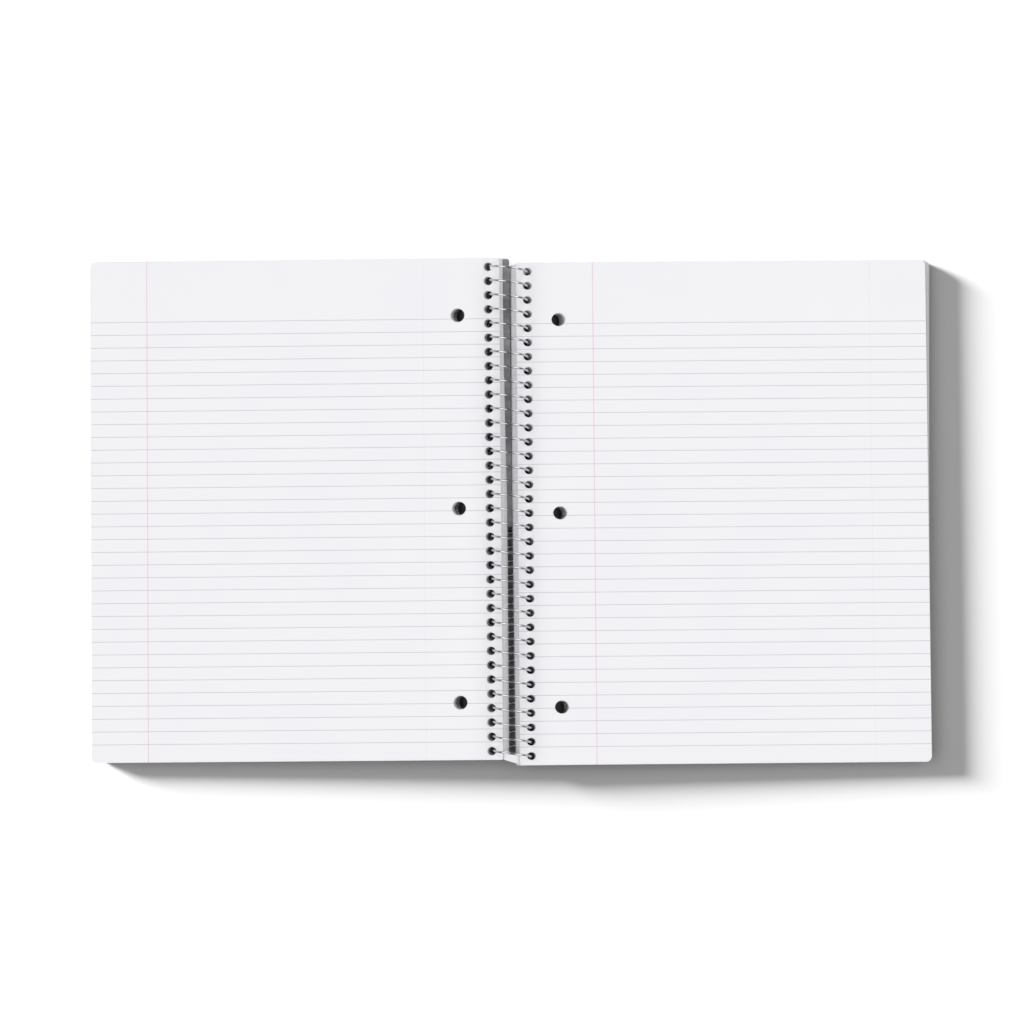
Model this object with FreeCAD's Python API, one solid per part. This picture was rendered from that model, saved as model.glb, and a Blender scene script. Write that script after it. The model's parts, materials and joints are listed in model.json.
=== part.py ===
import FreeCAD, Part
import math
import os

# Open spiral notebook, lying face up near its middle. Millimetres, +Z up, +Y towards the head of the
# pages, +X towards the right-hand page. The origin is on the table, under the middle of the notebook.

# Leaves
sheet_width = 228.6            # spine edge to fore edge, 9 in
sheet_height = 279.4           # foot to head, 11 in
fore_corner_radius = 3.0       # rounded corners at the fore edge
spine_corner_radius = 1.0      # nearly square corners at the spine
leaf_thickness = 0.072         # writing paper of about 60 g per square metre
leaves_per_side = 90           # as many turned over as are left

# Covers, one under each stack of leaves
cover_thickness = 0.5
score_from_spine_edge = 14.0   # pressed line on which a cover bends, on its outer face
score_width = 1.0
score_depth = 0.15

# Holes for the coil
hole_pitch = 7.9375            # 5/16 in
least_end_margin = 4.0         # paper kept between the end holes and the head or foot
hole_to_spine_edge = 6.2       # hole centre to the leaf's spine edge

# Holes for a ring binder
binder_hole_diameter = 7.9
binder_hole_spacing = 107.95   # 4 1/4 in
binder_hole_count = 3
binder_hole_to_spine_edge = 23.4

# Wire coil
wire_diameter = 1.2
hole_play = 1.9                # room all round a wire that stands in the middle of its hole
coil_slack = 3.37              # wire's centre line to the covers, when the notebook is closed
tail_bend_radius = 2.0         # crimp that keeps each end of the wire from unwinding
tail_length = 3.0
wire_step = 90                 # the wire is drawn as two tangent arcs for each step of this many degrees

# How the stacks hang on the coil
axis_clearance = 0.15          # coil's axis to the top leaf, so that the closed stacks don't rub
left_hang = 0.9                # top left leaf's holes stand this much outside the wire
right_hang = 0.1
running_clearance = 0.25       # wire to the edge of its hole where it comes nearest, notebook closed
leaf_creep = 0.3               # lowest leaf's shift along the spine, following the slant of the wire
stack_layers = 3               # bands of leaves that step in towards the spine

# Worked out from the values above
leaves_depth = leaves_per_side * leaf_thickness
half_depth = axis_clearance + leaves_depth + cover_thickness
cover_depth = leaves_depth + cover_thickness / 2
coil_radius = half_depth + coil_slack
wire_radius = wire_diameter / 2
hole_radius = wire_radius + hole_play
axis_height = coil_radius + wire_radius
hole_count = 1 + int((sheet_height - 2 * least_end_margin) / hole_pitch)
first_hole = (hole_count - 1) / 2 * hole_pitch

# Closing turns each stack half a turn less about the coil than about the other stack, and the wire walks
# along its rows of holes by half a pitch in all. The walk is shared between both rows.
walk = hole_pitch / 4
left_lead = walk - math.sqrt(hole_play**2 - left_hang**2) + running_clearance
right_lead = walk - math.sqrt(hole_play**2 - right_hang**2) + running_clearance
stagger = hole_pitch / 2 - left_lead - right_lead

LEFT = -1
RIGHT = 1
hang = {LEFT: left_hang, RIGHT: right_hang}


def hole_reach(side, depth):
    """Distance of the hole centres from the coil's axis, in a sheet this far below the top leaf."""
    below_axis = axis_clearance + depth
    return math.sqrt(coil_radius**2 - below_axis**2) + hang[side] * (1 - below_axis / half_depth)


def creep(side, depth):
    """Shift of a leaf along the spine: the lower left ones towards the head, right ones to the foot."""
    return -side * leaf_creep * depth / leaves_depth


def half_tilt(side):
    """Slope of a half, in degrees, that lays both the coil and the cover's fore edge on the table."""
    fore = hole_reach(side, cover_depth) - hole_to_spine_edge + sheet_width
    down_to_table = math.asin(axis_height / math.hypot(fore, half_depth))
    return math.degrees(down_to_table - math.atan2(half_depth, fore))


# The axis lies off the middle by half of what one page reaches out further than the other.
axis_offset = (hole_reach(LEFT, 0) - hole_reach(RIGHT, 0)) / 2


def sheet_face(side, depth, z):
    """Outline of one leaf with all its holes, flat at height z, where leaves at this depth lie."""
    spine = hole_reach(side, depth) - hole_to_spine_edge
    fore = spine + sheet_width
    middle = -side * stagger / 2 + creep(side, depth)
    foot = middle - sheet_height / 2
    head = middle + sheet_height / 2
    corners = [
        (spine, foot, 1, 1, spine_corner_radius),
        (fore, foot, -1, 1, fore_corner_radius),
        (fore, head, -1, -1, fore_corner_radius),
        (spine, head, 1, -1, spine_corner_radius),
    ]
    ends = []
    edges = []
    for x, y, inward_x, inward_y, radius in corners:
        lie = radius * (1 - math.sqrt(0.5))
        along_x = FreeCAD.Vector(side * (x + inward_x * radius), y, z)
        along_y = FreeCAD.Vector(side * x, y + inward_y * radius, z)
        middle_point = FreeCAD.Vector(side * (x + inward_x * lie), y + inward_y * lie, z)
        edges.append(Part.Arc(along_x, middle_point, along_y).toShape())
        ends.append((along_x, along_y))
    edges.append(Part.makeLine(ends[0][0], ends[1][0]))
    edges.append(Part.makeLine(ends[1][1], ends[2][1]))
    edges.append(Part.makeLine(ends[2][0], ends[3][0]))
    edges.append(Part.makeLine(ends[3][1], ends[0][1]))
    wires = [Part.Wire(Part.__sortEdges__(edges))]

    up = FreeCAD.Vector(0, 0, 1)
    for number in range(hole_count):
        along = middle + first_hole - number * hole_pitch
        centre = FreeCAD.Vector(side * (spine + hole_to_spine_edge), along, z)
        wires.append(Part.Wire([Part.makeCircle(hole_radius, centre, up)]))
    for number in range(binder_hole_count):
        along = middle + (number - (binder_hole_count - 1) / 2) * binder_hole_spacing
        centre = FreeCAD.Vector(side * (spine + binder_hole_to_spine_edge), along, z)
        wires.append(Part.Wire([Part.makeCircle(binder_hole_diameter / 2, centre, up)]))
    return Part.makeFace(wires, "Part::FaceMakerBullseye")


def set_down(shape, side):
    """Tilts a half about the coil's axis and moves it from the axis to its place over the table."""
    shape.rotate(FreeCAD.Vector(0, 0, 0), FreeCAD.Vector(0, 1, 0), side * half_tilt(side))
    shape.translate(FreeCAD.Vector(axis_offset, 0, axis_height))
    return shape


def stack_of_leaves(side):
    """All the leaves of one side as one block, which leans in over the coil's lower half."""
    depths = [leaves_depth * layer / stack_layers for layer in range(stack_layers + 1)]
    sheets = [sheet_face(side, depth, -axis_clearance - depth) for depth in depths]
    faces = [sheets[0], sheets[-1]]
    for sheet, top, bottom in zip(sheets, depths, depths[1:]):
        lean_in = side * (hole_reach(side, bottom) - hole_reach(side, top))
        lean_along = creep(side, bottom) - creep(side, top)
        lean = FreeCAD.Vector(lean_in, lean_along, top - bottom)
        for wire in sheet.Wires:
            faces.extend(wire.extrude(lean).Faces)
    skin = Part.makeShell(faces)
    skin.sewShape()
    return set_down(Part.makeSolid(skin), side)


def cover(side):
    """One cover, punched like the leaves, with a pressed score line along the spine."""
    inner_face = -axis_clearance - leaves_depth
    sheet = sheet_face(side, cover_depth, inner_face).extrude(FreeCAD.Vector(0, 0, -cover_thickness))
    near = hole_reach(side, cover_depth) - hole_to_spine_edge + score_from_spine_edge
    lowest_x = min(side * near, side * (near + score_width))
    groove = Part.makeBox(
        score_width,
        2 * sheet_height,
        2 * score_depth,
        FreeCAD.Vector(lowest_x, -sheet_height, -half_depth - score_depth),
    )
    return set_down(sheet.cut(groove).Solids[0], side)


def tangent_arc(start, corner, end):
    """Arc that leaves start towards the corner and comes to end from it, both as far from the corner."""
    chord_middle = (start + end) * 0.5
    to_corner = corner - chord_middle
    half_chord = (end - start).Length / 2
    turn = 2 * math.atan2(to_corner.Length, half_chord)
    rise = half_chord * math.tan(turn / 4)
    return Part.Arc(start, chord_middle + to_corner * (rise / to_corner.Length), end).toShape()


def wire_point(angle):
    """Point of the wire's centre line, by its angle about the axis, and the way the wire runs there."""
    turned = math.radians(angle)
    across = coil_radius * math.cos(turned)
    up = coil_radius * math.sin(turned)
    point = FreeCAD.Vector(across, hole_pitch * angle / 360, up)
    way = FreeCAD.Vector(-up, hole_pitch / (2 * math.pi), across)
    return point, way.normalize()


def helix_arcs(from_angle, to_angle):
    """Two tangent arcs that follow the wire from one angle to the next."""
    start, start_way = wire_point(from_angle)
    end, end_way = wire_point(to_angle)
    run = end - start
    bend = 2 * (1 - start_way.dot(end_way))
    along = run.dot(start_way + end_way)
    leg = (math.sqrt(along**2 + bend * run.dot(run)) - along) / bend
    first_corner = start + start_way * leg
    last_corner = end - end_way * leg
    joint = (first_corner + last_corner) * 0.5
    return [tangent_arc(start, first_corner, joint), tangent_arc(joint, last_corner, end)]


def crimped_tail(angle, inward):
    """Bend and straight end of the wire, turned in along the axis. Listed from the coil to the tip."""
    end, way = wire_point(angle)
    outward = way * -inward
    along = FreeCAD.Vector(0, inward, 0)
    leg = tail_bend_radius * math.tan(outward.getAngle(along) / 2)
    corner = end + outward * leg
    bend_end = corner + along * leg
    return [tangent_arc(end, corner, bend_end), Part.makeLine(bend_end, bend_end + along * tail_length)]


def coil():
    """Round wire wound once through every pair of holes, its ends crimped in at the bottom."""
    foot_angle = -90
    head_angle = foot_angle + 360 * hole_count
    path = crimped_tail(foot_angle, 1)[::-1]
    for angle in range(foot_angle, head_angle, wire_step):
        path.extend(helix_arcs(angle, angle + wire_step))
    path.extend(crimped_tail(head_angle, -1))
    tip = path[0].Vertexes[-1].Point
    section = Part.Wire([Part.makeCircle(wire_radius, tip, FreeCAD.Vector(0, 1, 0))])
    wire = Part.Wire(path).makePipeShell([section], True, False)
    last_right_hole = -stagger / 2 - first_hole
    wire.translate(FreeCAD.Vector(axis_offset, last_right_hole - right_lead, axis_height))
    return wire


coil().exportStep("parts/wire_coil.step")
stack_of_leaves(LEFT).exportStep("parts/left_pages.step")
stack_of_leaves(RIGHT).exportStep("parts/right_pages.step")
cover(LEFT).exportStep("parts/front_cover.step")
cover(RIGHT).exportStep("parts/back_cover.step")
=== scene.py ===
import json
import math
import random

import bpy
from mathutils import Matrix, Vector


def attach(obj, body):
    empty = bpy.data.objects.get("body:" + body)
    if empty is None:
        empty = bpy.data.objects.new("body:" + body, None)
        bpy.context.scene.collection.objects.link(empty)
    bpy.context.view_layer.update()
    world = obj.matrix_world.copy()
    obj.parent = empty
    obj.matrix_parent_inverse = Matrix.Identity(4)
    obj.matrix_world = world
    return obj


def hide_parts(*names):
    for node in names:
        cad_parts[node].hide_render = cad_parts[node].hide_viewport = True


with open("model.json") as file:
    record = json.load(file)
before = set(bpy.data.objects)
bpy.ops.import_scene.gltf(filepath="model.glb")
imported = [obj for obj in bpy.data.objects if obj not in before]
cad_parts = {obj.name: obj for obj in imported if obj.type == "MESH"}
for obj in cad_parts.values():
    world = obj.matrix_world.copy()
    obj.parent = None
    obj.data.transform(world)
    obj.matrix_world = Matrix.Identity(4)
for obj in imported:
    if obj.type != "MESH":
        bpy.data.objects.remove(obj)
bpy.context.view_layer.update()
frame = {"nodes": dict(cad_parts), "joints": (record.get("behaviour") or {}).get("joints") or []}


# Wire coil. One length of round steel wire, wound left-handed through every pair of holes and plated
# bright. Its two ends are crimped in along the spine, under the first and the last turn, so that the
# coil can't unwind.
axis = Vector(frame["joints"][0]["pos_m"])
hole_pitch = 0.0079375
coil_radius = 0.0105
wire_radius = 0.0006
coil_turns = 35
coil_foot_end = -0.138794
tail_bend_radius = 0.002
tail_length = 0.003


def deselect_all():
    bpy.ops.object.select_all(action="DESELECT")


def work_on(piece):
    """Makes one piece the only selected and active one."""
    deselect_all()
    piece.select_set(True)
    bpy.context.view_layer.objects.active = piece


def select_in_edit(piece, kind, test):
    """Selects the vertices, edges or faces of a piece that pass the test, and enters edit mode."""
    work_on(piece)
    bpy.ops.object.mode_set(mode="EDIT")
    bpy.ops.mesh.select_mode(type=kind)
    bpy.ops.mesh.select_all(action="DESELECT")
    bpy.ops.object.mode_set(mode="OBJECT")
    parts = {"VERT": piece.data.vertices, "EDGE": piece.data.edges, "FACE": piece.data.polygons}[kind]
    for part in parts:
        part.select = test(part)
    bpy.ops.object.mode_set(mode="EDIT")


def apply_place(piece):
    """Leaves the object at the origin, with its place in its mesh."""
    work_on(piece)
    bpy.ops.object.transform_apply(location=True, rotation=True, scale=True)


def apply_modifiers(piece):
    work_on(piece)
    for modifier in list(piece.modifiers):
        bpy.ops.object.modifier_apply(modifier=modifier.name)


deselect_all()
bpy.ops.mesh.primitive_circle_add(
    vertices=14,
    radius=wire_radius,
    location=(0, coil_foot_end, -coil_radius),
    rotation=(0, math.pi / 2, 0),
)
wire = bpy.context.object
wire.name = "plated_wire_coil"
apply_place(wire)
winding = wire.modifiers.new("winding", "SCREW")
winding.axis = "Y"
winding.angle = -2 * math.pi
winding.screw_offset = hole_pitch
winding.iterations = coil_turns
winding.steps = winding.render_steps = 60
winding.use_smooth_shade = True
apply_modifiers(wire)

for end_y, inward in ((coil_foot_end, 1), (coil_foot_end + coil_turns * hole_pitch, -1)):
    ring_centre = Vector((0, end_y, -coil_radius))
    ring = {
        v.index
        for v in wire.data.vertices
        if abs(v.co.x) < wire_radius / 4 and (v.co - ring_centre).length < 1.5 * wire_radius
    }
    select_in_edit(wire, "EDGE", lambda edge: set(edge.vertices) <= ring)
    bpy.ops.mesh.spin(
        steps=8,
        angle=-math.pi / 2,
        center=(0, end_y + inward * tail_bend_radius, -coil_radius),
        axis=(0, 0, 1),
    )
    bpy.ops.mesh.extrude_edges_move(TRANSFORM_OT_translate={"value": (0, inward * tail_length, 0)})
    tip = (-inward * tail_bend_radius, end_y + inward * (tail_bend_radius + tail_length), -coil_radius)
    for reach_out, narrower in ((0.5, 0.86), (0.35, 0.62)):
        bpy.ops.mesh.extrude_edges_move(
            TRANSFORM_OT_translate={"value": (0, inward * wire_radius * reach_out, 0)}
        )
        bpy.ops.transform.resize(value=(narrower,) * 3, center_override=tip)
    bpy.ops.mesh.edge_face_add()
    bpy.ops.object.mode_set(mode="OBJECT")

select_in_edit(wire, "FACE", lambda face: True)
bpy.ops.mesh.normals_make_consistent(inside=False)
bpy.ops.object.mode_set(mode="OBJECT")
work_on(wire)
bpy.ops.object.shade_smooth_by_angle(angle=math.radians(40))
wire.location = (axis.x, 0, axis.z)
apply_place(wire)


def new_material(name):
    """An empty material with one Principled shader, ready for its own nodes."""
    material = bpy.data.materials.new(name)
    material.use_nodes = True
    return material, material.node_tree.nodes, material.node_tree.links


def add_node(nodes, kind, **settings):
    node = nodes.new(kind)
    for name, value in settings.items():
        setattr(node, name, value)
    return node


plated_steel, nodes, links = new_material("plated_steel_wire")
shader = nodes["Principled BSDF"]
shader.inputs["Metallic"].default_value = 1.0
place = add_node(nodes, "ShaderNodeTexCoord")
drawing_marks = add_node(nodes, "ShaderNodeTexNoise")
drawing_marks.inputs["Scale"].default_value = 900
drawing_marks.inputs["Detail"].default_value = 3
links.new(place.outputs["Object"], drawing_marks.inputs["Vector"])
steel_tone = add_node(nodes, "ShaderNodeMix", data_type="RGBA")
steel_tone.inputs["A"].default_value = (0.46, 0.46, 0.47, 1)
steel_tone.inputs["B"].default_value = (0.60, 0.60, 0.61, 1)
links.new(drawing_marks.outputs["Fac"], steel_tone.inputs["Factor"])
links.new(steel_tone.outputs["Result"], shader.inputs["Base Color"])
polish = add_node(nodes, "ShaderNodeMapRange")
polish.inputs["To Min"].default_value = 0.07
polish.inputs["To Max"].default_value = 0.18
links.new(drawing_marks.outputs["Fac"], polish.inputs["Value"])
links.new(polish.outputs["Result"], shader.inputs["Roughness"])
scratch_bump = add_node(nodes, "ShaderNodeBump")
scratch_bump.inputs["Strength"].default_value = 0.05
scratch_bump.inputs["Distance"].default_value = 0.00002
links.new(drawing_marks.outputs["Fac"], scratch_bump.inputs["Height"])
links.new(scratch_bump.outputs["Normal"], shader.inputs["Normal"])
wire.data.materials.append(plated_steel)
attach(wire, "coil")
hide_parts("wire_coil")


# Leaves. Sheets of smooth writing paper, ruled on both faces and punched along the spine for the coil and
# in three places for a ring binder. Half of them are turned over. Lower ones step in over the coil's lower
# half and lie a little unevenly. A leaf was torn out on the left, and a torn corner lies at the foot.
leaf_width = 0.2286
leaf_height = 0.2794
leaf_thickness = 0.000072
leaves_per_side = 90
loose_top_leaves = 3           # leaves that show one by one on top of each side
leaves_in_bundle = 3           # the others lie in close bundles of so many
model_thickness = 0.001        # thickness in which the leaf is modelled, before it is pressed flat
scrap_thickness = 0.00012      # stub and torn corner, a little crumpled
near = 0.0001                  # how far an edge may lie from the place at which it is looked for
fore_corner_radius = 0.003
spine_corner_radius = 0.001
coil_hole_radius = 0.0025
coil_hole_inset = 0.0062
binder_hole_radius = 0.00395
binder_hole_spacing = 0.10795
binder_hole_inset = 0.0234
axis_clearance = 0.00015
half_depth = 0.00713
stagger = 0.003071
leaf_creep = 0.0003
hang = {-1: 0.0009, 1: 0.0001}
half_tilt = {-1: math.radians(0.98773), 1: math.radians(0.98785)}


def punched_leaf():
    """One right-hand leaf, with its spine edge on the Y axis and its top face at zero."""
    deselect_all()
    bpy.ops.mesh.primitive_cube_add(
        size=1,
        location=(leaf_width / 2, 0, -model_thickness / 2),
        scale=(leaf_width, leaf_height, model_thickness),
    )
    leaf = bpy.context.object
    apply_place(leaf)
    for at_fore_edge, radius in ((True, fore_corner_radius), (False, spine_corner_radius)):
        def upright_at_edge(edge):
            first, second = (leaf.data.vertices[i].co for i in edge.vertices)
            upright = abs(first.z - second.z) > model_thickness / 2
            return upright and (first.x > leaf_width / 2) == at_fore_edge

        select_in_edit(leaf, "EDGE", upright_at_edge)
        bpy.ops.mesh.bevel(offset=radius, segments=6, affect="EDGES")
        bpy.ops.object.mode_set(mode="OBJECT")

    first_hole = (coil_turns - 1) / 2 * hole_pitch
    punches = []
    for radius, inset, first, pitch, count, sides in (
        (coil_hole_radius, coil_hole_inset, first_hole, hole_pitch, coil_turns, 22),
        (binder_hole_radius, binder_hole_inset, binder_hole_spacing, binder_hole_spacing, 3, 32),
    ):
        deselect_all()
        bpy.ops.mesh.primitive_cylinder_add(
            vertices=sides, radius=radius, depth=0.003, location=(inset, first, 0)
        )
        punch = bpy.context.object
        apply_place(punch)
        row = punch.modifiers.new("row", "ARRAY")
        row.count = count
        row.use_relative_offset = False
        row.use_constant_offset = True
        row.constant_offset_displace = (0, -pitch, 0)
        apply_modifiers(punch)
        punches.append(punch)
    for punch in punches:
        cut = leaf.modifiers.new("punch", "BOOLEAN")
        cut.operation = "DIFFERENCE"
        cut.solver = "EXACT"
        cut.object = punch
    leaf.modifiers.new("flat_faces", "TRIANGULATE")
    apply_modifiers(leaf)
    for punch in punches:
        bpy.data.objects.remove(punch)
    for finish in finishes:
        leaf.data.materials.append(finish)
    for face in leaf.data.polygons:
        x, y, z = face.center
        by_fore_edge = x > leaf_width - 0.004
        by_spine_edge = x <= 0.0022
        by_end = abs(y) >= leaf_height / 2 - 0.001
        if face.normal.z > 0.9:
            face.material_index = top_face
        elif abs(face.normal.z) < 0.5 and not (by_spine_edge or by_fore_edge or by_end):
            face.material_index = punched
        else:
            # Fore-edge faces get the finish that is coloured greyer, as painted shade.
            face.material_index = shaded_fore_edge if by_fore_edge else trimmed
    return leaf


def hole_reach(side, depth):
    """Distance of the coil holes from the coil's axis, in a leaf this far below the top one."""
    below_axis = axis_clearance + depth
    return math.sqrt(coil_radius**2 - below_axis**2) + hang[side] * (1 - below_axis / half_depth)


def down_the_stack(leaves_above):
    """From 0 for the loose top leaves to 1 for the lowest leaf."""
    return max(0, leaves_above - loose_top_leaves + 1) / (leaves_per_side - loose_top_leaves + 1)


def slant_edges(sheet, side, leaves_above, together):
    """Slants the edges of a bundle so that they lead on to the next one below it."""
    depth, next_depth = (leaves * leaf_thickness for leaves in (leaves_above, leaves_above + together))
    lean = hole_reach(side, next_depth) - hole_reach(side, depth)
    select_in_edit(sheet, "VERT", lambda v: v.co.z < -model_thickness / 2)
    bpy.ops.transform.translate(value=(lean, -leaf_creep * together / leaves_per_side, 0))
    bpy.ops.object.mode_set(mode="OBJECT")


def trim_askew(sheet, leaves_above, together):
    """Turns the fore edge of a right-hand bundle outwards at its head, as it was cut a little askew."""
    for lower, leaves in ((False, leaves_above), (True, leaves_above + together)):
        def to_turn(vertex):
            outer = vertex.co.x > leaf_width - 1.1 * fore_corner_radius
            return outer and (vertex.co.z < -model_thickness / 2) == lower

        select_in_edit(sheet, "VERT", to_turn)
        bpy.ops.transform.rotate(
            value=most_askew * min(1, down_the_stack(leaves) / askew_reached),
            orient_axis="Z",
            center_override=(leaf_width, trim_pivot, 0),
        )
        bpy.ops.object.mode_set(mode="OBJECT")


skew_pivot = -0.118            # place along the spine about which the lower right leaves are turned
most_skew = 0.0048
trim_pivot = -0.116            # place along the fore edge about which the right leaves are cut askew
most_askew = 0.0162
askew_reached = 0.55           # share of the stack below which the leaves are all cut alike
# The joined sheets keep these finishes apart until each side gets its own materials.
top_face, trimmed, shaded_fore_edge, punched, stub_shade = range(5)
finishes = [
    bpy.data.materials.new(name) for name in ("top_face", "trimmed", "shaded_fore_edge", "punched", "stub_shade")
]
leaf = punched_leaf()


def set_finishes(sheet, top, rest):
    """Gives a scrap one finish on top and another round it, out of those of a leaf."""
    for finish in finishes:
        sheet.data.materials.append(finish)
    for face in sheet.data.polygons:
        face.material_index = top if face.normal.z > 0.9 else rest


def torn_stub():
    """What is left of a torn-out leaf: a strip between the stacks, from the head to the middle, coloured
    dark as painted shade.
    """
    deselect_all()
    head, torn_end, inner, outer = 0.1414, -0.0095, -0.0032, 0.0015
    bpy.ops.mesh.primitive_cube_add(
        size=1,
        location=((inner + outer) / 2, (head + torn_end) / 2, 0),
        scale=(outer - inner, head - torn_end, scrap_thickness),
    )
    stub = bpy.context.object
    apply_place(stub)

    def outer_upright_at(y):
        def test(edge):
            first, second = (stub.data.vertices[i].co for i in edge.vertices)
            upright = abs(first.z - second.z) > scrap_thickness / 2
            return upright and first.x > outer - near and abs(first.y - y) < near
        return test

    select_in_edit(stub, "EDGE", outer_upright_at(torn_end))
    bpy.ops.transform.translate(value=(-0.0006, 0.0012, 0))
    bpy.ops.object.mode_set(mode="OBJECT")
    select_in_edit(stub, "EDGE", outer_upright_at(head))
    bpy.ops.transform.translate(value=(-0.0011, 0, 0))
    bpy.ops.mesh.bevel(offset=0.0014, segments=5, affect="EDGES")
    bpy.ops.object.mode_set(mode="OBJECT")
    # Its finish is coloured dark further on, as painted shade.
    set_finishes(stub, stub_shade, stub_shade)
    head_rise = 0.0022
    stub.rotation_euler = (math.atan2(head_rise, head - torn_end), 0, 0)
    stub.location = (0, 0, -0.0067)
    return stub


def foot_scrap():
    """A torn corner of paper that lies between the stacks at their foot, on the right-hand one."""
    deselect_all()
    bpy.ops.mesh.primitive_cube_add(
        size=1, location=(-0.0001, -0.1385, 0), scale=(0.0091, 0.0052, scrap_thickness)
    )
    scrap = bpy.context.object
    apply_place(scrap)
    select_in_edit(scrap, "VERT", lambda v: v.co.x < 0)
    bpy.ops.transform.translate(value=(0, 0.0028, 0))
    bpy.ops.object.mode_set(mode="OBJECT")
    set_finishes(scrap, top_face, trimmed)
    scrap.rotation_euler = (0, math.radians(4), 0)
    scrap.location = (0, 0, -0.0018)
    return scrap


skew_spread = 0.0002           # how unevenly the leaves lie: turned, and shifted across and along
shift_spread_across = 0.00007
shift_spread_along = 0.00012
blocks = {}
for side in (-1, 1):
    draw = random.Random(7 + side)
    copies = []
    leaves_above = 0
    while leaves_above < leaves_per_side:
        together = 1 if leaves_above < loose_top_leaves else leaves_in_bundle
        depth = leaves_above * leaf_thickness
        sheet = leaf.copy()
        sheet.data = leaf.data.copy()
        bpy.context.scene.collection.objects.link(sheet)
        looseness = 0 if leaves_above == 0 else 1
        skew = looseness * draw.gauss(0, skew_spread)
        if side > 0:
            skew += most_skew * down_the_stack(leaves_above)
            trim_askew(sheet, leaves_above, together)
        slant_edges(sheet, side, leaves_above, together)
        inward = hole_reach(side, depth) - coil_hole_inset
        x = side * inward + skew * skew_pivot + looseness * draw.gauss(0, shift_spread_across)
        y = -side * (stagger / 2 + leaf_creep * leaves_above / leaves_per_side)
        y += looseness * draw.gauss(0, shift_spread_along)
        sheet.location = (x, y, -axis_clearance - depth)
        sheet.rotation_euler = (0, 0, skew + (math.pi if side < 0 else 0))
        sheet.scale = (1, 1, together * leaf_thickness / model_thickness)
        tint = sheet.data.attributes.new("leaf_tint", "FLOAT", "POINT")
        tint.data.foreach_set("value", [draw.random()] * len(sheet.data.vertices))
        copies.append(sheet)
        leaves_above += together
    scrap = torn_stub() if side < 0 else foot_scrap()
    scrap.data.attributes.new("leaf_tint", "FLOAT", "POINT")
    copies.append(scrap)
    deselect_all()
    for sheet in copies:
        sheet.select_set(True)
    bpy.context.view_layer.objects.active = copies[0]
    bpy.ops.object.transform_apply(location=True, rotation=True, scale=True)
    bpy.ops.object.join()
    block = bpy.context.object
    block.name = "ruled_leaves_left" if side < 0 else "ruled_leaves_right"
    bpy.ops.object.shade_smooth_by_angle(angle=math.radians(25))
    block.rotation_euler = (0, side * half_tilt[side], 0)
    block.location = axis
    apply_place(block)
    blocks[side] = block
bpy.data.objects.remove(leaf)


def new_group(name, inputs, outputs):
    """A shader node group with named number, vector or colour sockets."""
    group = bpy.data.node_groups.new(name, "ShaderNodeTree")
    for socket_name, kind in inputs:
        group.interface.new_socket(socket_name, in_out="INPUT", socket_type=kind)
    for socket_name, kind in outputs:
        group.interface.new_socket(socket_name, in_out="OUTPUT", socket_type=kind)
    return group, group.nodes.new("NodeGroupInput"), group.nodes.new("NodeGroupOutput")


def math_node(tree, operation, first, second=None, third=None):
    """Output of a new Math node, whose inputs are sockets or plain numbers."""
    node = tree.nodes.new("ShaderNodeMath")
    node.operation = operation
    for socket, value in zip(node.inputs, (first, second, third)):
        if value is None:
            continue
        if isinstance(value, (int, float)):
            socket.default_value = value
        else:
            tree.links.new(value, socket)
    return node.outputs[0]


# A printed line: strongest on its middle and gone half a width away from it.
printed_line, given, made = new_group(
    "printed_line",
    [("Distance", "NodeSocketFloat"), ("Width", "NodeSocketFloat")],
    [("Ink", "NodeSocketFloat")],
)
share = math_node(printed_line, "DIVIDE", given.outputs["Distance"], given.outputs["Width"])
share = math_node(printed_line, "ABSOLUTE", share)
ink = math_node(printed_line, "MULTIPLY_ADD", share, -4.0, 2.5)
ink = math_node(printed_line, "MINIMUM", ink, 1.0)
printed_line.links.new(math_node(printed_line, "MAXIMUM", ink, 0.0), made.inputs["Ink"])

# Paper: felted fibres that show as a faint cloudiness in the colour and as the slightest roughness.
paper_fibre, given, made = new_group(
    "paper_fibre",
    [("Place", "NodeSocketVector"), ("Paper", "NodeSocketColor"), ("Cloudiness", "NodeSocketFloat")],
    [("Color", "NodeSocketColor"), ("Height", "NodeSocketFloat")],
)
clouds = add_node(paper_fibre.nodes, "ShaderNodeTexNoise")
clouds.inputs["Scale"].default_value = 22
clouds.inputs["Detail"].default_value = 5
paper_fibre.links.new(given.outputs["Place"], clouds.inputs["Vector"])
fibres = add_node(paper_fibre.nodes, "ShaderNodeTexNoise")
fibres.inputs["Scale"].default_value = 2600
fibres.inputs["Detail"].default_value = 4
paper_fibre.links.new(given.outputs["Place"], fibres.inputs["Vector"])
lilac = add_node(paper_fibre.nodes, "ShaderNodeMix", data_type="RGBA", blend_type="MULTIPLY")
lilac.inputs["B"].default_value = (0.955, 0.935, 0.985, 1)
paper_fibre.links.new(given.outputs["Paper"], lilac.inputs["A"])
amount = math_node(paper_fibre, "MULTIPLY", clouds.outputs["Fac"], given.outputs["Cloudiness"])
paper_fibre.links.new(amount, lilac.inputs["Factor"])
paper_fibre.links.new(lilac.outputs["Result"], made.inputs["Color"])
paper_fibre.links.new(fibres.outputs["Fac"], made.inputs["Height"])

ruling_pitch = 0.00714375
ruling_first = 0.1059          # first line to the middle of the leaf
rules_below_first = 33
ruling_last = ruling_first - rules_below_first * ruling_pitch
ruling_width = 0.00032
margin_width = 0.0004
margin_places = {1: 0.0426, -1: 0.1972}   # margin line to the spine edge, on a right and a left page
paper_white = (0.885, 0.885, 0.896, 1)
ruling_blue = (0.50, 0.52, 0.62, 1)
margin_pink = (0.78, 0.36, 0.52, 1)


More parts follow.
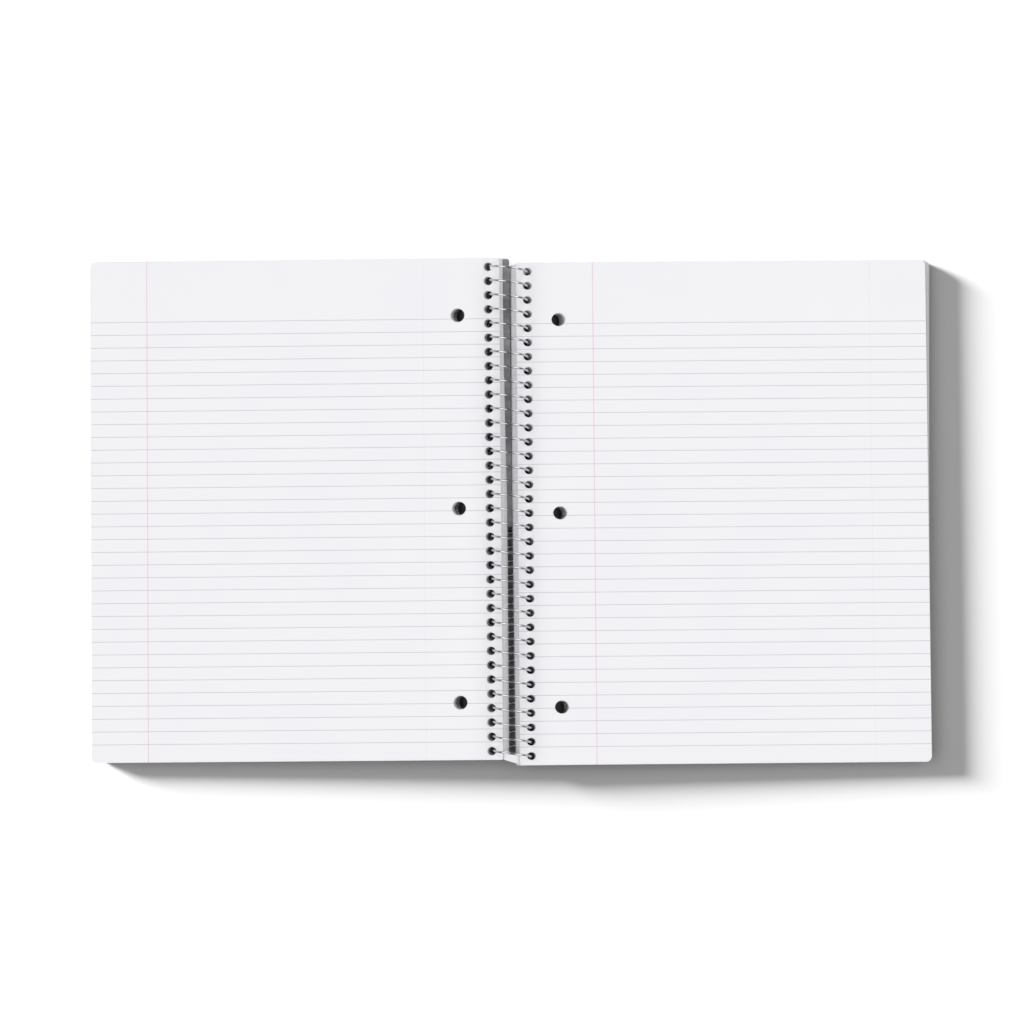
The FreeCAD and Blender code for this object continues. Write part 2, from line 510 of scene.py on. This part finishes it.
def ruled_paper(side):
    """Paper with the ruling of one page, and the margin line of its other face shining through."""
    material, nodes, links = new_material("ruled_paper" + ("_left" if side < 0 else "_right"))
    tree = material.node_tree
    shader = nodes["Principled BSDF"]
    shader.inputs["Roughness"].default_value = 0.62
    shader.inputs["Specular IOR Level"].default_value = 0.25
    place = add_node(nodes, "ShaderNodeTexCoord")
    parts = add_node(nodes, "ShaderNodeSeparateXYZ")
    links.new(place.outputs["Object"], parts.inputs["Vector"])
    fibre = add_node(nodes, "ShaderNodeGroup", node_tree=paper_fibre)
    links.new(place.outputs["Object"], fibre.inputs["Place"])
    fibre.inputs["Paper"].default_value = paper_white
    fibre.inputs["Cloudiness"].default_value = 0.7

    along = math_node(tree, "ADD", parts.outputs["Y"], side * stagger / 2)
    from_first = math_node(tree, "DIVIDE", math_node(tree, "SUBTRACT", along, ruling_first), ruling_pitch)
    nearest = math_node(tree, "SUBTRACT", from_first, math_node(tree, "ROUND", from_first))
    rule = add_node(nodes, "ShaderNodeGroup", node_tree=printed_line)
    links.new(math_node(tree, "MULTIPLY", nearest, ruling_pitch), rule.inputs["Distance"])
    rule.inputs["Width"].default_value = ruling_width
    under_first = math_node(tree, "LESS_THAN", along, ruling_first + ruling_pitch / 2)
    over_last = math_node(tree, "GREATER_THAN", along, ruling_last - ruling_pitch / 2)
    on_ruled_part = math_node(tree, "MULTIPLY", under_first, over_last)
    rules = math_node(tree, "MULTIPLY", rule.outputs["Ink"], on_ruled_part)

    spine_x = axis.x + side * (hole_reach(side, 0) - coil_hole_inset)
    colour = fibre.outputs["Color"]
    layers = [(ruling_blue, rules, 0.90)]
    for page, strength in ((side, 0.62), (-side, 0.10)):
        margin = add_node(nodes, "ShaderNodeGroup", node_tree=printed_line)
        margin_x = spine_x + side * margin_places[page]
        links.new(math_node(tree, "SUBTRACT", parts.outputs["X"], margin_x), margin.inputs["Distance"])
        margin.inputs["Width"].default_value = margin_width
        layers.append((margin_pink, margin.outputs["Ink"], strength))
    for ink_colour, ink, strength in layers:
        printing = add_node(nodes, "ShaderNodeMix", data_type="RGBA")
        printing.inputs["B"].default_value = ink_colour
        links.new(colour, printing.inputs["A"])
        links.new(math_node(tree, "MULTIPLY", ink, strength), printing.inputs["Factor"])
        colour = printing.outputs["Result"]
    links.new(colour, shader.inputs["Base Color"])
    bump = add_node(nodes, "ShaderNodeBump")
    bump.inputs["Strength"].default_value = 0.25
    bump.inputs["Distance"].default_value = 0.00002
    links.new(fibre.outputs["Height"], bump.inputs["Height"])
    links.new(bump.outputs["Normal"], shader.inputs["Normal"])
    return material


def edge_paper(name, side, darkest, palest, depth_shade=1.0):
    """Paper seen edge on, where each leaf shows as a fine line. Lower down, painted shade darkens it."""
    material, nodes, links = new_material(name + ("_left" if side < 0 else "_right"))
    tree = material.node_tree
    shader = nodes["Principled BSDF"]
    shader.inputs["Roughness"].default_value = 0.85
    shader.inputs["Specular IOR Level"].default_value = 0.1
    place = add_node(nodes, "ShaderNodeTexCoord")
    level = add_node(nodes, "ShaderNodeVectorRotate", rotation_type="Y_AXIS")
    level.inputs["Center"].default_value = axis
    level.inputs["Angle"].default_value = -side * half_tilt[side]
    links.new(place.outputs["Object"], level.inputs["Vector"])
    stretch = add_node(nodes, "ShaderNodeMapping")
    stretch.inputs["Scale"].default_value = (6, 6, 1 / (1.6 * leaf_thickness))
    links.new(level.outputs["Vector"], stretch.inputs["Vector"])
    leaf_lines = add_node(nodes, "ShaderNodeTexNoise")
    leaf_lines.inputs["Scale"].default_value = 1.0
    leaf_lines.inputs["Detail"].default_value = 2
    links.new(stretch.outputs["Vector"], leaf_lines.inputs["Vector"])
    tint = add_node(nodes, "ShaderNodeAttribute", attribute_name="leaf_tint")
    shade = math_node(tree, "MULTIPLY_ADD", leaf_lines.outputs["Fac"], 1.5, -0.45)
    shade = math_node(tree, "MULTIPLY_ADD", tint.outputs["Fac"], 0.35, shade)
    tone = add_node(nodes, "ShaderNodeMix", data_type="RGBA")
    tone.inputs["A"].default_value = darkest
    tone.inputs["B"].default_value = palest
    links.new(shade, tone.inputs["Factor"])
    fibre = add_node(nodes, "ShaderNodeGroup", node_tree=paper_fibre)
    links.new(place.outputs["Object"], fibre.inputs["Place"])
    links.new(tone.outputs["Result"], fibre.inputs["Paper"])
    fibre.inputs["Cloudiness"].default_value = 0.4
    below = add_node(nodes, "ShaderNodeSeparateXYZ")
    links.new(level.outputs["Vector"], below.inputs["Vector"])
    # Painted shade: the colour darkens from 1.4 mm to 4.2 mm below the coil's axis, to the last argument's
    # share.
    depth_shade_ramp = add_node(nodes, "ShaderNodeMapRange")
    depth_shade_ramp.inputs["From Min"].default_value = axis.z - 0.0014
    depth_shade_ramp.inputs["From Max"].default_value = axis.z - 0.0042
    depth_shade_ramp.inputs["To Min"].default_value = 1.0
    depth_shade_ramp.inputs["To Max"].default_value = depth_shade
    links.new(below.outputs["Z"], depth_shade_ramp.inputs["Value"])
    depth_shaded = add_node(nodes, "ShaderNodeVectorMath", operation="SCALE")
    links.new(fibre.outputs["Color"], depth_shaded.inputs[0])
    links.new(depth_shade_ramp.outputs["Result"], depth_shaded.inputs["Scale"])
    links.new(depth_shaded.outputs["Vector"], shader.inputs["Base Color"])
    bump = add_node(nodes, "ShaderNodeBump")
    bump.inputs["Strength"].default_value = 0.5
    bump.inputs["Distance"].default_value = 0.00004
    links.new(leaf_lines.outputs["Fac"], bump.inputs["Height"])
    links.new(bump.outputs["Normal"], shader.inputs["Normal"])
    return material


# Trimmed edges are clean. The fore edge is coloured greyer, as painted shade. In the holes the edges are
# coloured darker lower down the stack, as painted shade. The torn stub is coloured dark, as painted shade.
trimmed_tones = (0.56, 0.55, 0.57, 1), (0.90, 0.895, 0.915, 1)
# Fore-edge tones: greyer than the trimmed ones, as painted shade on that side of the stack.
shaded_fore_edge_tones = (0.34, 0.325, 0.325, 1), (0.68, 0.66, 0.66, 1)
# Hole-wall tones. They are darkened down the stack as painted shade.
punched_tones = (0.26, 0.255, 0.26, 1), (0.84, 0.83, 0.85, 1)
# Stub tones: dark, as painted shade for the stub lying deep between the stacks.
stub_shade_tones = (0.16, 0.155, 0.16, 1), (0.42, 0.41, 0.42, 1)
for side, body in ((-1, "front_half"), (1, "back_half")):
    block = blocks[side]
    block.data.materials[top_face] = ruled_paper(side)
    block.data.materials[trimmed] = edge_paper("trimmed_edges", side, *trimmed_tones)
    block.data.materials[shaded_fore_edge] = edge_paper("shaded_fore_edges", side, *shaded_fore_edge_tones)
    block.data.materials[punched] = edge_paper("punched_edges", side, *punched_tones, depth_shade=0.06)
    if side < 0:
        block.data.materials[stub_shade] = edge_paper("shaded_stub", side, *stub_shade_tones)
    else:
        block.data.materials.pop(index=stub_shade)
    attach(block, body)
    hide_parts("left_pages" if side < 0 else "right_pages")
for finish in finishes:
    bpy.data.materials.remove(finish)


# Covers. Thin sheets of dark plastic under each stack, punched with the leaves and scored along the
# spine so that they bend there. Their grain is rolled in.
cover_plastic, nodes, links = new_material("grained_cover_plastic")
shader = nodes["Principled BSDF"]
shader.inputs["Specular IOR Level"].default_value = 0.4
place = add_node(nodes, "ShaderNodeTexCoord")
grain = add_node(nodes, "ShaderNodeTexVoronoi", feature="SMOOTH_F1")
grain.inputs["Scale"].default_value = 1500
links.new(place.outputs["Object"], grain.inputs["Vector"])
handling = add_node(nodes, "ShaderNodeTexNoise")
handling.inputs["Scale"].default_value = 30
handling.inputs["Detail"].default_value = 6
links.new(place.outputs["Object"], handling.inputs["Vector"])
cover_tone = add_node(nodes, "ShaderNodeMix", data_type="RGBA")
cover_tone.inputs["A"].default_value = (0.026, 0.026, 0.028, 1)
cover_tone.inputs["B"].default_value = (0.040, 0.040, 0.043, 1)
links.new(handling.outputs["Fac"], cover_tone.inputs["Factor"])
links.new(cover_tone.outputs["Result"], shader.inputs["Base Color"])
sheen = add_node(nodes, "ShaderNodeMapRange")
sheen.inputs["To Min"].default_value = 0.42
sheen.inputs["To Max"].default_value = 0.62
links.new(handling.outputs["Fac"], sheen.inputs["Value"])
links.new(sheen.outputs["Result"], shader.inputs["Roughness"])
grain_bump = add_node(nodes, "ShaderNodeBump")
grain_bump.inputs["Strength"].default_value = 0.35
grain_bump.inputs["Distance"].default_value = 0.00005
links.new(grain.outputs["Distance"], grain_bump.inputs["Height"])
links.new(grain_bump.outputs["Normal"], shader.inputs["Normal"])
for name in ("front_cover", "back_cover"):
    cover = frame["nodes"][name]
    cover.data.materials.clear()
    cover.data.materials.append(cover_plastic)


# Table. A plain pale sheet under and far around the notebook. A lamp low on the upper left lights it alone,
# so that the notebook's shadow falls on it to the lower right.
deselect_all()
bpy.ops.mesh.primitive_plane_add(size=8, location=(0, 0, -0.0001))
table = bpy.context.object
table.name = "table"
table_white, nodes, links = new_material("table_white")
shader = nodes["Principled BSDF"]
shader.inputs["Base Color"].default_value = (0.315, 0.315, 0.315, 1)
shader.inputs["Roughness"].default_value = 1.0
shader.inputs["Specular IOR Level"].default_value = 0.0
table.data.materials.append(table_white)

bpy.ops.object.light_add(type="SUN")
table_light = bpy.context.object
table_light.data.energy = 37.6
table_light.data.angle = math.radians(15)
table_light.rotation_mode = "QUATERNION"
towards_lamp = Vector((-32.0, 14.0, 7.5))
table_light.rotation_quaternion = towards_lamp.to_track_quat("Z", "Y")
only_table = bpy.data.collections.new("lit_by_table_light")
only_table.objects.link(table)
table_light.light_linking.receiver_collection = only_table
only_blocks = bpy.data.collections.new("shading_the_table")
for block in blocks.values():
    only_blocks.objects.link(block)
table_light.light_linking.blocker_collection = only_blocks

# Studio. Soft light comes from high on the left and on the right, as on a copy stand. It is dim overhead,
# where the camera hangs, towards the head and the foot, and near the horizon. The camera sees white.
world = bpy.data.worlds.new("studio")
bpy.context.scene.world = world
world.use_nodes = True
tree = world.node_tree
nodes, links = tree.nodes, tree.links
background = nodes["Background"]
way = add_node(nodes, "ShaderNodeTexCoord")
parts = add_node(nodes, "ShaderNodeSeparateXYZ")
links.new(way.outputs["Generated"], parts.inputs["Vector"])
height = add_node(nodes, "ShaderNodeValToRGB")
height.color_ramp.elements[0].position = 0.0
height.color_ramp.elements[0].color = (0.06, 0.06, 0.06, 1)
height.color_ramp.elements[1].position = 1.0
height.color_ramp.elements[1].color = (0.02, 0.02, 0.02, 1)
light_by_height = (0.38, 0.05), (0.50, 1.0), (0.66, 1.0), (0.76, 0.70), (0.925, 0.66), (0.96, 0.02)
for position, level in light_by_height:
    stop = height.color_ramp.elements.new(position)
    stop.color = (level, level, level, 1)
links.new(parts.outputs["Z"], height.inputs["Fac"])
across = math_node(tree, "MULTIPLY", parts.outputs["X"], parts.outputs["X"])
level_part = math_node(tree, "MULTIPLY_ADD", parts.outputs["Y"], parts.outputs["Y"], across)
sideways = add_node(nodes, "ShaderNodeMapRange", interpolation_type="SMOOTHSTEP")
sideways.inputs["From Min"].default_value = 0.12
sideways.inputs["From Max"].default_value = 0.42
sideways.inputs["To Min"].default_value = 0.12
sideways.inputs["To Max"].default_value = 1.0
links.new(math_node(tree, "DIVIDE", across, level_part), sideways.inputs["Value"])
studio_level = 2.52
soft_light = math_node(tree, "MULTIPLY", height.outputs["Color"], sideways.outputs["Result"])
soft_light = math_node(tree, "MULTIPLY", soft_light, studio_level)
seen = add_node(nodes, "ShaderNodeLightPath")
sky = add_node(nodes, "ShaderNodeMix", data_type="RGBA")
sky.inputs["B"].default_value = (1, 1, 1, 1)
links.new(seen.outputs["Is Camera Ray"], sky.inputs["Factor"])
links.new(soft_light, sky.inputs["A"])
links.new(sky.outputs["Result"], background.inputs["Color"])

# Camera. It hangs over the notebook, a little towards the foot, and looks almost straight down.
bpy.ops.object.camera_add(
    location=(0.0151, -0.1000, 2.0664),
    rotation=tuple(math.radians(angle) for angle in (2.7620, 0.4070, -0.4801)),
)
camera = bpy.context.object
camera.data.lens = 130
camera.data.sensor_width = 36
bpy.context.scene.camera = camera
bpy.context.scene.view_settings.view_transform = "Standard"
